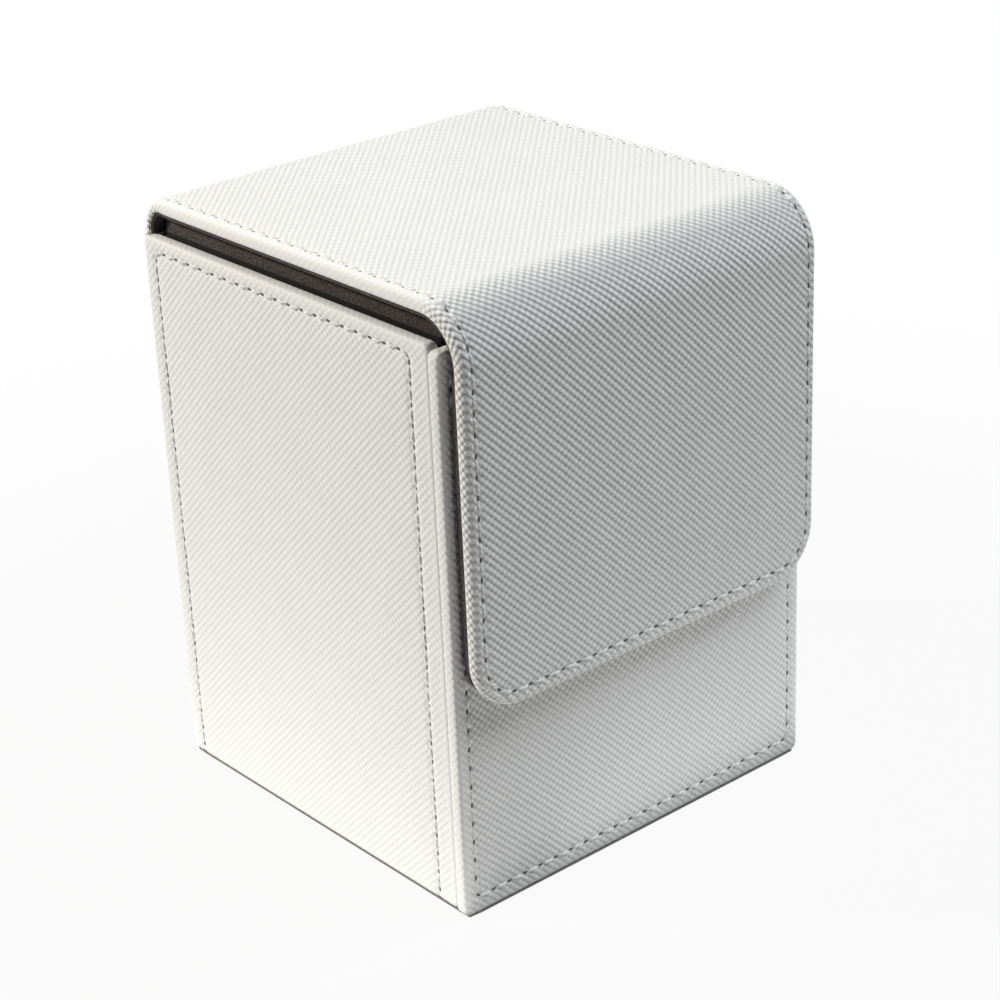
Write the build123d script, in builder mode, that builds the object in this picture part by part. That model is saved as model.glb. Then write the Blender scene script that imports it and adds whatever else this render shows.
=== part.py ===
"""Flip-top card storage box: a sewn leatherette case with card cores and a suede liner.

One strip of leatherette runs up the back, over the lid and down the front as a flap.
Millimetres, +Z up, front towards -Y, origin on the ground at the middle of the footprint.
"""
import os
from build123d import *

# Body
body_width = 74.5
body_depth = 75.0
side_height = 95.6
front_step = 0.6
front_overhang = 0.25

# Lid strip
lid_inset = 0.85
lid_gap = 3.4
flap_standoff = 4.4
flap_drop = 65.2
back_crease_inner_radius = 1.0
front_bend_inner_radius = 6.5
flap_corner_radius = 9.0

# Sheet thicknesses
skin = 0.8
board = 1.6
lining = 0.6
liner = 1.2
base_sheet_thickness = 0.9

# Rounding of the turned edges
edge_round = 1.2
front_corner_radius = 2.0
side_corner_radius = 2.0

# Insets and clearances
base_inset = 0.6
lining_inset = 1.0
rim_clearance = 0.3

# Magnets
magnet_diameter = 12.0
magnet_thickness = 1.0
magnet_spacing = 40.0
magnet_rise = 15.0

# Sheet stacks
panel = skin + board
lid_thickness = panel + lining

# Widths
front_width = body_width + 2 * front_overhang
lid_width = body_width - 2 * lid_inset
inner_width = body_width - 2 * panel
lining_width = lid_width - 2 * lining_inset

# Front to back, from the flap's face at -Y to the back's face at +Y
overall_depth = body_depth + flap_standoff
flap_face = -overall_depth / 2
back_face = overall_depth / 2
front_face = flap_face + flap_standoff
inner_front = front_face + panel
side_back = back_face - skin
inner_back = side_back - board
inner_depth = inner_back - inner_front
inner_middle = (inner_front + inner_back) / 2

# Heights above the ground
side_bottom = base_sheet_thickness
core_bottom = side_bottom + skin
floor_bottom = core_bottom + board
floor_top = floor_bottom + liner
side_top = side_height
front_top = side_top - front_step
lid_under = side_top + lid_gap
lid_core_under = lid_under + lining
lid_top = lid_under + lid_thickness
flap_bottom = lid_top - flap_drop
rim_top = lid_under - rim_clearance

# Bends of the lid strip: centres in the YZ plane and radii
back_crease_radius = back_crease_inner_radius + lid_thickness
back_crease_y = back_face - back_crease_radius
back_crease_z = lid_under - back_crease_inner_radius
front_bend_radius = front_bend_inner_radius + lid_thickness
front_bend_y = flap_face + front_bend_radius
front_bend_z = lid_under - front_bend_inner_radius
lid_length = back_crease_y - front_bend_y
flap_length = front_bend_z - flap_bottom
quarter_turn = 90

# Liner rim: its corners run inside the two bends
rim_front_radius = max(front_bend_y - inner_front, rim_clearance)
rim_back_radius = max(back_crease_inner_radius - rim_clearance, rim_clearance)
rim_back = back_crease_y + rim_back_radius


def upright(y):
    """Plane facing the front at the given y, with X to the right and Z up."""
    return Plane.XZ.offset(-y)


def level(z):
    """Plane facing up at the given height."""
    return Plane.XY.offset(z)


# Bottom sheet, the thin grey card under everything
with BuildPart() as base_sheet:
    with BuildSketch(level(0)):
        with Locations((0, (inner_front + side_back) / 2)):
            Rectangle(body_width - 2 * base_inset, side_back - inner_front)
    extrude(amount=base_sheet_thickness)

# Leatherette under the base, between the side panels
with BuildPart() as base_skin:
    with BuildSketch(level(side_bottom)):
        with Locations((0, (inner_front + side_back) / 2)):
            Rectangle(inner_width, side_back - inner_front)
    extrude(amount=skin)

# Card core of the base
with BuildPart() as base_board:
    with BuildSketch(level(core_bottom)):
        with Locations((0, inner_middle)):
            Rectangle(inner_width, inner_depth)
    extrude(amount=board)

# Side cover: leatherette over one side, with its edges turned in round the core
side_middle = (inner_front + side_back) / 2
side_length = side_back - inner_front
side_rise = side_top - side_bottom
side_centre = (side_middle, side_bottom + side_rise / 2)
with BuildPart() as left_side_skin:
    with BuildSketch(Plane.YZ.offset(-body_width / 2)) as side_outline:
        with Locations(side_centre):
            Rectangle(side_length, side_rise)
        fillet(side_outline.vertices().group_by(Axis.Y)[-1], side_corner_radius)
    extrude(amount=panel)
    fillet(left_side_skin.faces().sort_by(Axis.X)[0].edges(), edge_round)
    with BuildSketch(Plane.YZ.offset(skin - body_width / 2)) as side_pocket:
        with Locations(side_centre):
            Rectangle(side_length - 2 * skin, side_rise - 2 * skin)
        fillet(side_pocket.vertices().group_by(Axis.Y)[-1], side_corner_radius - skin)
    extrude(amount=board, mode=Mode.SUBTRACT)

# Card core of the side
with BuildPart() as left_side_board:
    with BuildSketch(Plane.YZ.offset(skin - body_width / 2)) as side_core:
        with Locations(side_centre):
            Rectangle(side_length - 2 * skin, side_rise - 2 * skin)
        fillet(side_core.vertices().group_by(Axis.Y)[-1], side_corner_radius - skin)
    extrude(amount=board)

# The right side mirrors the left
with BuildPart() as right_side_skin:
    mirror(left_side_skin.part, about=Plane.YZ)

with BuildPart() as right_side_board:
    mirror(left_side_board.part, about=Plane.YZ)

# Magnets lie in the front panel and in the flap, at one height
magnet_height = flap_bottom + magnet_rise
magnet_places = [(-magnet_spacing / 2, magnet_height), (magnet_spacing / 2, magnet_height)]

# Front cover: leatherette over the front panel, edges turned in on all four sides
with BuildPart() as front_skin:
    with BuildSketch(upright(front_face)):
        with Locations((0, front_top / 2)):
            RectangleRounded(front_width, front_top, front_corner_radius)
    extrude(amount=-panel)
    fillet(front_skin.faces().sort_by(Axis.Y)[0].edges(), edge_round)
    with BuildSketch(upright(front_face + skin)):
        with Locations((0, front_top / 2)):
            RectangleRounded(front_width - 2 * skin, front_top - 2 * skin, front_corner_radius - skin)
    extrude(amount=-board, mode=Mode.SUBTRACT)

# Card core of the front, with a pocket for each magnet behind the leatherette
with BuildPart() as front_board:
    with BuildSketch(upright(front_face + skin)):
        with Locations((0, front_top / 2)):
            RectangleRounded(front_width - 2 * skin, front_top - 2 * skin, front_corner_radius - skin)
    extrude(amount=-board)
    with BuildSketch(upright(front_face + skin)):
        with Locations(*magnet_places):
            Circle(magnet_diameter / 2)
    extrude(amount=-magnet_thickness, mode=Mode.SUBTRACT)

with BuildPart() as front_magnets:
    with BuildSketch(upright(front_face + skin)):
        with Locations(*magnet_places):
            Circle(magnet_diameter / 2)
    extrude(amount=-magnet_thickness)

# Back cover: the lower end of the lid strip
with BuildPart() as back_skin:
    with BuildSketch(upright(side_back)):
        with Locations((0, side_top / 2)):
            Rectangle(lid_width, side_top)
    extrude(amount=-skin)

# Card core of the back, between the side panels
with BuildPart() as back_board:
    with BuildSketch(upright(inner_back)):
        with Locations((0, (core_bottom + side_top) / 2)):
            Rectangle(inner_width, side_top - core_bottom)
    extrude(amount=-board)

# Liner: suede-covered card, a floor and four walls standing on it
with BuildPart() as liner_floor:
    with BuildSketch(level(floor_bottom)):
        with Locations((0, inner_middle)):
            Rectangle(inner_width, inner_depth)
    extrude(amount=liner)

# Side wall: its rim stands above the side panel and follows the inside of both bends
with BuildPart() as liner_left_wall:
    with BuildSketch(Plane.YZ.offset(-inner_width / 2)) as wall_outline:
        with Locations((inner_front, floor_top)):
            Rectangle(inner_depth, rim_top - floor_top, align=(Align.MIN, Align.MIN))
        with Locations((rim_back, side_top)):
            Rectangle(inner_back - rim_back, rim_top - side_top, align=(Align.MIN, Align.MIN),
                      mode=Mode.SUBTRACT)
        fillet(wall_outline.vertices().group_by(Axis.Y)[-1].sort_by(Axis.X)[0], rim_front_radius)
        fillet(wall_outline.vertices().group_by(Axis.Y)[-1].sort_by(Axis.X)[-1], rim_back_radius)
    extrude(amount=liner)

with BuildPart() as liner_right_wall:
    mirror(liner_left_wall.part, about=Plane.YZ)

# Front wall: its top is rounded over with the same corner as the side walls' rim
wall_width = inner_width - 2 * liner
with BuildPart() as liner_front_wall:
    with BuildSketch(Plane.YZ.offset(-wall_width / 2)) as front_wall_outline:
        with Locations((inner_front, floor_top)):
            Rectangle(liner + rim_front_radius, rim_top - floor_top, align=(Align.MIN, Align.MIN))
        fillet(front_wall_outline.vertices().group_by(Axis.Y)[-1].sort_by(Axis.X)[0], rim_front_radius)
        with Locations((inner_front + liner, floor_top)):
            Rectangle(rim_front_radius, rim_top - floor_top, align=(Align.MIN, Align.MIN),
                      mode=Mode.SUBTRACT)
    extrude(amount=wall_width)

with BuildPart() as liner_back_wall:
    with BuildSketch(upright(inner_back - liner)):
        with Locations((0, (floor_top + side_top) / 2)):
            Rectangle(wall_width, side_top - floor_top)
    extrude(amount=-liner)

# Back crease: the strip's folded leatherette from the back over to the lid
crease_axis = Axis((0, back_crease_y, back_crease_z), (-1, 0, 0))
crease_rise = back_crease_z - side_top
with BuildPart() as back_crease_skin:
    with BuildSketch(upright(back_crease_y)) as crease_section:
        with Locations((0, lid_top - panel / 2)):
            Rectangle(lid_width, panel)
        fillet(crease_section.vertices().group_by(Axis.Y)[-1], edge_round)
    revolve(axis=crease_axis, revolution_arc=quarter_turn)
    with BuildSketch(level(side_top)) as crease_foot:
        with Locations((0, back_face - panel / 2)):
            Rectangle(lid_width, panel)
        fillet(crease_foot.vertices().group_by(Axis.Y)[-1], edge_round)
    extrude(amount=crease_rise)

with BuildPart() as back_crease_lining:
    with BuildSketch(upright(back_crease_y)):
        with Locations((0, lid_under + lining / 2)):
            Rectangle(lining_width, lining)
    revolve(axis=crease_axis, revolution_arc=quarter_turn)
    with BuildSketch(level(side_top)):
        with Locations((0, inner_back - lining / 2)):
            Rectangle(lining_width, lining)
    extrude(amount=crease_rise)

# Lid cover: leatherette over the lid, turned in along both sides
with BuildPart() as lid_skin:
    with BuildSketch(upright(front_bend_y)) as lid_section:
        with Locations((0, lid_top - panel / 2)):
            Rectangle(lid_width, panel)
        fillet(lid_section.vertices().group_by(Axis.Y)[-1], edge_round)
        with Locations((0, lid_core_under + board / 2)):
            Rectangle(lid_width - 2 * skin, board, mode=Mode.SUBTRACT)
    extrude(amount=-lid_length)

with BuildPart() as lid_board:
    with BuildSketch(upright(front_bend_y)):
        with Locations((0, lid_core_under + board / 2)):
            Rectangle(lid_width - 2 * skin, board)
    extrude(amount=-lid_length)

with BuildPart() as lid_lining:
    with BuildSketch(upright(front_bend_y)):
        with Locations((0, lid_under + lining / 2)):
            Rectangle(lining_width, lining)
    extrude(amount=-lid_length)

# Front bend: the wide round turn from the lid into the flap
bend_axis = Axis((0, front_bend_y, front_bend_z), (1, 0, 0))
with BuildPart() as front_bend_skin:
    with BuildSketch(upright(front_bend_y)) as bend_section:
        with Locations((0, lid_top - panel / 2)):
            Rectangle(lid_width, panel)
        fillet(bend_section.vertices().group_by(Axis.Y)[-1], edge_round)
    revolve(axis=bend_axis, revolution_arc=quarter_turn)

with BuildPart() as front_bend_lining:
    with BuildSketch(upright(front_bend_y)):
        with Locations((0, lid_under + lining / 2)):
            Rectangle(lining_width, lining)
    revolve(axis=bend_axis, revolution_arc=quarter_turn)

# Flap cover: leatherette with round lower corners, turned in along its free edges
flap_centre = (0, flap_bottom + flap_length / 2)
core_centre = (0, flap_bottom + skin + (flap_length - skin) / 2)
flap_core_face = flap_face + skin
with BuildPart() as flap_skin:
    with BuildSketch(upright(flap_face)) as flap_outline:
        with Locations(flap_centre):
            Rectangle(lid_width, flap_length)
        fillet(flap_outline.vertices().group_by(Axis.Y)[0], flap_corner_radius)
    extrude(amount=-panel)
    free_edges = flap_skin.faces().sort_by(Axis.Y)[0].edges().sort_by(Axis.Z)[:-1]
    fillet(free_edges, edge_round)
    with BuildSketch(upright(flap_core_face)) as flap_pocket:
        with Locations(core_centre):
            Rectangle(lid_width - 2 * skin, flap_length - skin)
        fillet(flap_pocket.vertices().group_by(Axis.Y)[0], flap_corner_radius - skin)
    extrude(amount=-board, mode=Mode.SUBTRACT)

# Card core of the flap, with a pocket for each magnet behind the suede
with BuildPart() as flap_board:
    with BuildSketch(upright(flap_core_face)) as flap_core:
        with Locations(core_centre):
            Rectangle(lid_width - 2 * skin, flap_length - skin)
        fillet(flap_core.vertices().group_by(Axis.Y)[0], flap_corner_radius - skin)
    extrude(amount=-board)
    with BuildSketch(upright(flap_face + panel)):
        with Locations(*magnet_places):
            Circle(magnet_diameter / 2)
    extrude(amount=magnet_thickness, mode=Mode.SUBTRACT)

with BuildPart() as flap_magnets:
    with BuildSketch(upright(flap_face + panel)):
        with Locations(*magnet_places):
            Circle(magnet_diameter / 2)
    extrude(amount=magnet_thickness)

with BuildPart() as flap_lining:
    with BuildSketch(upright(flap_face + panel)) as lining_outline:
        with Locations((0, flap_bottom + lining_inset + (flap_length - lining_inset) / 2)):
            Rectangle(lining_width, flap_length - lining_inset)
        fillet(lining_outline.vertices().group_by(Axis.Y)[0], flap_corner_radius - lining_inset)
    extrude(amount=-lining)

pieces = {
    "base_sheet": base_sheet,
    "base_skin": base_skin,
    "base_board": base_board,
    "left_side_skin": left_side_skin,
    "left_side_board": left_side_board,
    "right_side_skin": right_side_skin,
    "right_side_board": right_side_board,
    "front_skin": front_skin,
    "front_board": front_board,
    "front_magnets": front_magnets,
    "back_skin": back_skin,
    "back_board": back_board,
    "liner_floor": liner_floor,
    "liner_left_wall": liner_left_wall,
    "liner_right_wall": liner_right_wall,
    "liner_front_wall": liner_front_wall,
    "liner_back_wall": liner_back_wall,
    "back_crease_skin": back_crease_skin,
    "back_crease_lining": back_crease_lining,
    "lid_skin": lid_skin,
    "lid_board": lid_board,
    "lid_lining": lid_lining,
    "front_bend_skin": front_bend_skin,
    "front_bend_lining": front_bend_lining,
    "flap_skin": flap_skin,
    "flap_board": flap_board,
    "flap_magnets": flap_magnets,
    "flap_lining": flap_lining,
}

os.makedirs("parts", exist_ok=True)
for name, piece in pieces.items():
    piece.part.label = name
    export_step(piece.part, f"parts/{name}.step")
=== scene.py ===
"""Flip-top card storage box: leatherette covers, suede linings, stitching and a plain stage.

Each sheet is worked out flat, as a across, b along and depth under its face, and is then laid
where the frame says: upright for the panels, round both bends for the lid strip.
"""
import math

import bpy
import numpy as np
from mathutils import Matrix, Vector


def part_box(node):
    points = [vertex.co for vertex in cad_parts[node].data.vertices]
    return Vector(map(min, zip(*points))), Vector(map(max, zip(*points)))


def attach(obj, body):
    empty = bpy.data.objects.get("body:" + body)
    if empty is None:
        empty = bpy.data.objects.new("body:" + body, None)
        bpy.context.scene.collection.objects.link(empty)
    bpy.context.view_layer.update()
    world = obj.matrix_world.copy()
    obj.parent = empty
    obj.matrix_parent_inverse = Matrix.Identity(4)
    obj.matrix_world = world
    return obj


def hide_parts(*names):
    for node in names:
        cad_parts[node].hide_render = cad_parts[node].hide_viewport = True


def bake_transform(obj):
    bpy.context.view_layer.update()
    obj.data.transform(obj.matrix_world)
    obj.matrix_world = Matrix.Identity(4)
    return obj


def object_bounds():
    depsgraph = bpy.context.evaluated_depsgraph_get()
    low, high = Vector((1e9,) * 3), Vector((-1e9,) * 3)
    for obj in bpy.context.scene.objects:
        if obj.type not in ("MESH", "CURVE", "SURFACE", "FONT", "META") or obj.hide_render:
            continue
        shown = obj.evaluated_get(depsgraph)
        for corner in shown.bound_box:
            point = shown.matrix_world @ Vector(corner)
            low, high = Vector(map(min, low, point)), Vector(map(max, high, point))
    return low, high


bl_info = {
    "name": "Card storage box",
    "version": (1, 0, 0),
    "blender": (4, 5, 0),
    "location": "View3D > Sidebar > Card Box",
    "description": "Covers, linings and stitching of a flip-top card storage box",
    "category": "Object",
}

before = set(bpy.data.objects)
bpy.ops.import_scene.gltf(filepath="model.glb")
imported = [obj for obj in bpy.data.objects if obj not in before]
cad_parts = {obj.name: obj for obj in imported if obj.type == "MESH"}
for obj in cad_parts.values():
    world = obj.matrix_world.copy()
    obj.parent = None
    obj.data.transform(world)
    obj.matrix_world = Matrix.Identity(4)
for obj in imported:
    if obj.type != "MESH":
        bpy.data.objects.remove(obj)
CAD_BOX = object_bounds()

SHEET_UV = "Sheet"
# Attribute that marks a cover's ribs pressed flat, and on the liner the band of painted shade below its rim
PRESSED_OR_SHADED = "pressed"
MM = 0.001

# Sheet thicknesses, read from the frame
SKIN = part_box("back_skin")[1].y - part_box("back_skin")[0].y
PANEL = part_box("front_skin")[1].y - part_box("front_skin")[0].y
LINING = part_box("lid_lining")[1].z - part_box("lid_lining")[0].z

# Sampling of the sheets
ROLL_STEPS = 6
CORNER_STEPS = 13
FINE_STEP = 0.25 * MM
BEND_STEP = 2 * FINE_STEP
COARSE_STEP = 0.6 * MM
PLAIN_STEP = 4 * COARSE_STEP
LEAST_STEP = 0.03 * MM
STEP_ROWS = 0.05 * MM
SHARP_ANGLE = math.radians(50)

# Lines in from an end that is cut: the end alone
CUT_END = np.zeros(1)

# Lengths over which something fades, grows or bends
SEAM_REACH = 1.2 * MM
TURNED_REACH = 2.4 * MM
LID_REACH = 5.0 * MM
FOLD_REACH = 2.4 * MM
CREASE_REACH = 3.0 * MM
FLAP_LINING_REACH = 8.0 * MM
RIM_REACH = 1.5 * MM
CROWN_REACH = 14 * MM
RIPPLE_REACH = 6 * MM

# Ripples of a cover: length of the wave, length over which its crests wander, and how much they do
ACROSS_RIPPLE = (5.3 * MM, 9.1 * MM, 1.3)
ALONG_RIPPLE = (3.7 * MM, 6.4 * MM, 1.7)

# Edges of the lid strip, as shares of its thickness, and its pocket's depth where it has no card
ROLL_SHARE = 0.7
HEM_SHARE = 0.25
FLAT_POCKET = 0.02 * MM

# The liner's rim under the crease: the run over which it draws back, against how far it does
RIM_RUN = 3

# A stitch: how far its ends lie from the middle of a hole, as a share of the hole's length, and its
# depth at the ends and its rise between them, in thread diameters
STITCH_RINGS = 7
STITCH_SIDES = 6
STITCH_END = 1 / 3
STITCH_DEPTH = 0.55
STITCH_RISE = 0.75

# A needle hole: a dark lens of painted shade standing for the hole's inside, cut off near its poles, and its
# thickness as a share of its width
HOLE_RINGS = 4
HOLE_SIDES = 8
HOLE_CUT = 0.9
HOLE_THICKNESS = 0.2

# Unevenness of the finishes: size of its patches, and the least and the most of what it changes
RIB_WEAR = (4 * MM, 0.75, 1.25)
RIB_TINT = (16 * MM, -0.06, 0.06)
RIB_ROUGHNESS = (2.5 * MM, 0.7, 0.9)
LEATHER_GRAIN = (0.22 * MM, 0.0, 0.18)
NAP_PATCHES = (9 * MM, 0.4, 1.4)

# Ribs: roundness of a ridge, and the scale at which the wave node's bands are one unit apart
RIDGE_POWER = 0.7
ONE_BAND = 2 * math.pi / 20

# Sizes and ranges in the finishes
THREAD_TWIST = 0.45 * MM
THREAD_RELIEF = 0.05 * MM
HOLE_LINT = 0.15 * MM
NAP_FIBRE = 0.4 * MM
NAP_RELIEF = 0.12 * MM
NAP_TUFTS = (0.42, 0.60)
CARD_PULP = 1.5 * MM
CARD_FLECK = 0.25 * MM
FLECK_GAIN = 2.0
CARD_RELIEF = 0.05 * MM
PLATING_MARK = 0.4 * MM
PLATING_ROUGHNESS = (0.22, 0.42)

# Brightness of the darker and paler parts of a finish, against its colour
# The thread's darker part is painted shade in the twist's grooves
TWIST_GROOVE_SHADE = 0.72
LINT_SHADE = 2.0
PULP_SHADES = (0.7, 1.25)
PLATING_SHADE = 0.85

# Sockets of the Mix node that blends colours
MIX_SHARE = 0
MIX_FIRST = 6
MIX_SECOND = 7
MIX_RESULT = 2

# Lamps: setting of the power, way to the lamp from the point it aims at, size and colour
LAMPS = {
    "key_lamp": ("key", (0.25, -0.42, 0.87), 0.25, (0.97, 1.0, 1.03)),
    "side_lamp": ("side", (-0.62, 0.55, 0.56), 0.06, (1.0, 0.96, 0.88)),
    "rake_lamp": ("rake", (0.85, -0.22, 0.42), 0.06, (0.96, 1.0, 1.03)),
}
LAMP_AIM = Vector((0, 0, 0.05))
LAMP_DISTANCE = 0.8
LAMP_BLEND = 0.7

# Low lamps by the front and the left, which stand for light off the floor
BOUNCE_DEPTH = 0.065
BOUNCE_LENGTH = 0.11
BOUNCE_SHIFT = BOUNCE_LENGTH / 3
BOUNCE_HEIGHT = 1 * MM

# Surroundings, floor and camera
WORLD_COLOUR = (0.985, 0.995, 1.0, 1.0)
WHITE = (1, 1, 1, 1)
FLOOR_REACH = 4.0
FLOOR_LINES = 3
POOL_START = 1 / 3
SENSOR_WIDTH = 36.0
CLIP_START = 0.01


# Settings

def size_setting(name, description, millimetres):
    """A length, given in millimetres and kept in metres."""
    return bpy.props.FloatProperty(name=name, description=description, unit="LENGTH",
                                   default=millimetres * MM)


def colour_setting(name, description, *default):
    """A colour of red, green and blue."""
    return bpy.props.FloatVectorProperty(name=name, description=description, subtype="COLOR", size=3,
                                         min=0, max=1, default=default)


def share_setting(name, description, default):
    """A share from 0 to 1."""
    return bpy.props.FloatProperty(name=name, description=description, subtype="FACTOR", min=0, max=1,
                                   default=default)


def angle_setting(name, description, degrees):
    """An angle, given in degrees and kept in radians."""
    return bpy.props.FloatProperty(name=name, description=description, subtype="ANGLE",
                                   default=math.radians(degrees))


def number_setting(name, description, default, unit="NONE"):
    """A number: a lamp's power in watts, a lens in millimetres, or one without a unit."""
    return bpy.props.FloatProperty(name=name, description=description, unit=unit, default=default)


class CoverSettings(bpy.types.PropertyGroup):
    """Leatherette of the panels and of the lid strip."""
    colour: colour_setting("Colour", "Leatherette on the ridges", 0.91, 0.91, 0.90)
    # The valley colours are painted shade: leatherette drawn darker down between the ribs, where the bump
    # casts no shade of its own
    valley_shade_colour: colour_setting("Valley colour", "Leatherette down between the ribs", 0.58, 0.58, 0.57)
    side_valley_shade_colour: colour_setting(
        "Side valley colour", "Leatherette between the flatter ribs of the side panels", 0.74, 0.74, 0.73)
    rib_pitch: size_setting("Rib pitch", "From one rib to the next", 0.98)
    rib_height: size_setting("Rib height", "From a valley to a ridge on the lid strip", 0.20)
    front_rib_height: size_setting("Front rib height", "From a valley to a ridge on the front panel", 0.10)
    side_rib_height: size_setting("Side rib height", "From a valley to a ridge on the side panels", 0.06)
    cross_share: share_setting("Cross ribs", "Height of the cross ribs against the main ones", 0.75)
    crown: size_setting("Crown", "How far the middle of a cover stands proud", 0.15)
    ripple: size_setting("Ripple", "Height of the soft unevenness of the sheet", 0.05)
    edge_smooth: share_setting("Smooth edges", "How flat the ribs are pressed on the panels' edges", 0.5)
    strip_smooth: share_setting("Smooth strip edges", "How flat the ribs are on the strip's edges", 0.15)
    lid_smooth: share_setting("Smooth lid", "How flat the ribs are pressed on the lid's top", 0.48)
    lid_edge_smooth: share_setting("Smooth lid edges", "How flat the ribs are on the lid's edges", 0.85)
    edge_roll: size_setting("Strip roll", "Radius of the lid strip's turned edges", 1.2)
    panel_roll: size_setting("Panel roll", "Radius of the panels' turned edges", 0.6)
    hem_roll: size_setting("Hem roll", "Radius of the covers' edges on the inner side", 0.6)
    crease_radius: size_setting("Crease radius", "Outer radius of the soft crease at the back", 6.0)
    crease_thickness: size_setting("Crease thickness", "Thickness of the strip where it has no card", 1.5)
    panel_corner: size_setting("Panel corner", "Corner radius of the side and front panels", 1.2)
    foot_corner: size_setting("Foot corner", "Corner radius at the foot of the sides and the back", 1.0)
    flap_corner: size_setting("Flap corner", "Radius of the flap's lower corners", 9.0)


class SeamSettings(bpy.types.PropertyGroup):
    """Stitching along the edges of the covers."""
    thread_colour: colour_setting("Thread", "Colour of the thread", 0.93, 0.93, 0.92)
    # The needle hole's colour is painted shade: the dark inside of a hole, drawn on a lens
    hole_shade_colour: colour_setting("Needle hole", "Colour inside a needle hole", 0.09, 0.088, 0.086)
    pitch: size_setting("Pitch", "From one needle hole to the next", 3.3)
    thread: size_setting("Thread diameter", "Thickness of the thread", 0.6)
    hole_length: size_setting("Hole length", "Needle hole along the seam", 1.15)
    hole_width: size_setting("Hole width", "Needle hole across the seam", 0.5)
    lid_tightness: share_setting(
        "Tight holes", "How far the leatherette has closed round the holes on the lid", 0.45)
    groove: size_setting("Groove", "How deep the thread pulls the seam in", 0.14)
    dimple: size_setting("Dimple", "How much deeper the needle holes lie", 0.14)
    strip_margin: size_setting("Strip margin", "From the lid strip's edge to its seam", 1.75)
    flap_margin: size_setting("Flap margin", "From the flap's lower edge to the seam", 2.6)
    foot_margin: size_setting("Foot margin", "From the ends of front and back to the seam", 3.2)
    front_margin: size_setting("Front margin", "From the front panel's sides to the seam", 2.4)
    side_front_margin: size_setting("Side, front margin", "From a side's front edge to the seam", 4.5)
    side_back_margin: size_setting("Side, back margin", "From a side's back edge to the seam", 3.0)
    side_top_margin: size_setting("Side, top margin", "From a side's top edge to the seam", 2.3)
    corner: size_setting("Seam corner", "Radius where a panel's seam turns", 1.2)


class InsideSettings(bpy.types.PropertyGroup):
    """Suede, card and magnets inside the box."""
    suede_colour: colour_setting("Suede", "Colour of the liner and linings", 0.022, 0.018, 0.017)
    nap_colour: colour_setting("Brushed nap", "Suede whose nap lies the other way", 0.092, 0.078, 0.074)
    # Painted shade: a near-black band on the liner's outer face, up to this height above the side panels,
    # stands for the shadow in the groove below the rim
    groove_shade_colour: colour_setting("Bare card", "Dark card of the liner below its rim", 0.004, 0.004, 0.004)
    groove_shade_height: size_setting("Bare edge", "Height of the bare card above the side panels", 0.35)
    rim_roll: size_setting("Rim roll", "Rounding of the liner's edges", 0.45)
    rim_groove: size_setting("Rim groove", "How far the liner's rim stands in from the side panels", 0.5)
    crease_room: size_setting("Crease room", "How far the liner's rim stands back from the crease", 1.3)
    lining_roll: size_setting("Lining roll", "Rounding of the linings' edges", 0.3)
    lining_inset: size_setting("Lining inset", "From the lid strip's edge to the lining's", 0.4)
    flap_lining: size_setting("Flap lining", "How much thicker the lining is on the flap", 0.9)
    sheet_edge: size_setting("Sheet edge", "Thickness of the bottom sheet under the front panel", 0.45)
    sheet_inset: size_setting("Sheet inset", "From the front's face back to the bottom sheet's edge", 0.15)
    board_colour: colour_setting("Greyboard", "Colour of the card cores", 0.42, 0.40, 0.37)
    card_colour: colour_setting("Bottom sheet", "Colour of the card under the box", 0.30, 0.29, 0.27)
    nickel_colour: colour_setting("Nickel", "Colour of the magnets' plating", 0.62, 0.62, 0.64)


class StageSettings(bpy.types.PropertyGroup):
    """Camera, lamps and floor."""
    azimuth: angle_setting("Azimuth", "Camera's turn to the left of the front", 39.97)
    elevation: angle_setting("Elevation", "Camera's angle above the floor", 24.69)
    roll: angle_setting("Roll", "Camera's lean to the right", 2.51)
    distance: size_setting("Distance", "From the camera to the aim point", 430)
    aim: bpy.props.FloatVectorProperty(
        name="Aim", description="Point in the middle of the frame", subtype="TRANSLATION",
        default=(0.0015, -0.0013, 0.0486))
    lens: number_setting("Lens", "Focal length of the camera", 93.1, "CAMERA")
    key: number_setting("Key lamp", "Power of the lamp above the front", 15.5, "POWER")
    side: number_setting("Side lamp", "Power of the warm lamp on the left", 22.3, "POWER")
    rake: number_setting("Raking lamp", "Power of the lamp that rakes the front from the right", 4.0, "POWER")
    beam: angle_setting("Beam", "Full angle of the three lamps' beams", 56)
    fill: number_setting("Fill", "Strength of the even light from all round", 0.03)
    bounce: number_setting("Bounce", "Power of each soft lamp low by the front and left", 0.0192, "POWER")
    floor_colour: colour_setting("Floor", "Colour of the floor", 0.55, 0.55, 0.547)
    floor_white: share_setting("White share", "White that the camera sees in the floor by the box", 0.92)
    floor_pool: size_setting("Pool", "Distance from the box at which the floor is plain white", 260)


# Measures along a sheet

def smoothstep(x):
    """0 below 0, 1 above 1, and 3x^2 - 2x^3 between."""
    t = np.clip(x, 0, 1)
    return t * t * (3 - 2 * t)


def even(value):
    """A measure that is the same at every b."""
    return lambda b: np.full(b.shape, value)


def untouched(*where):
    """0 everywhere: no relief, and nothing pressed."""
    return np.zeros(where[0].shape)


def turned(distance):
    """1 on a turned edge, falling off to 0 a little way in."""
    return 1 - smoothstep(distance / TURNED_REACH)


# Flat outlines and seams

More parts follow.
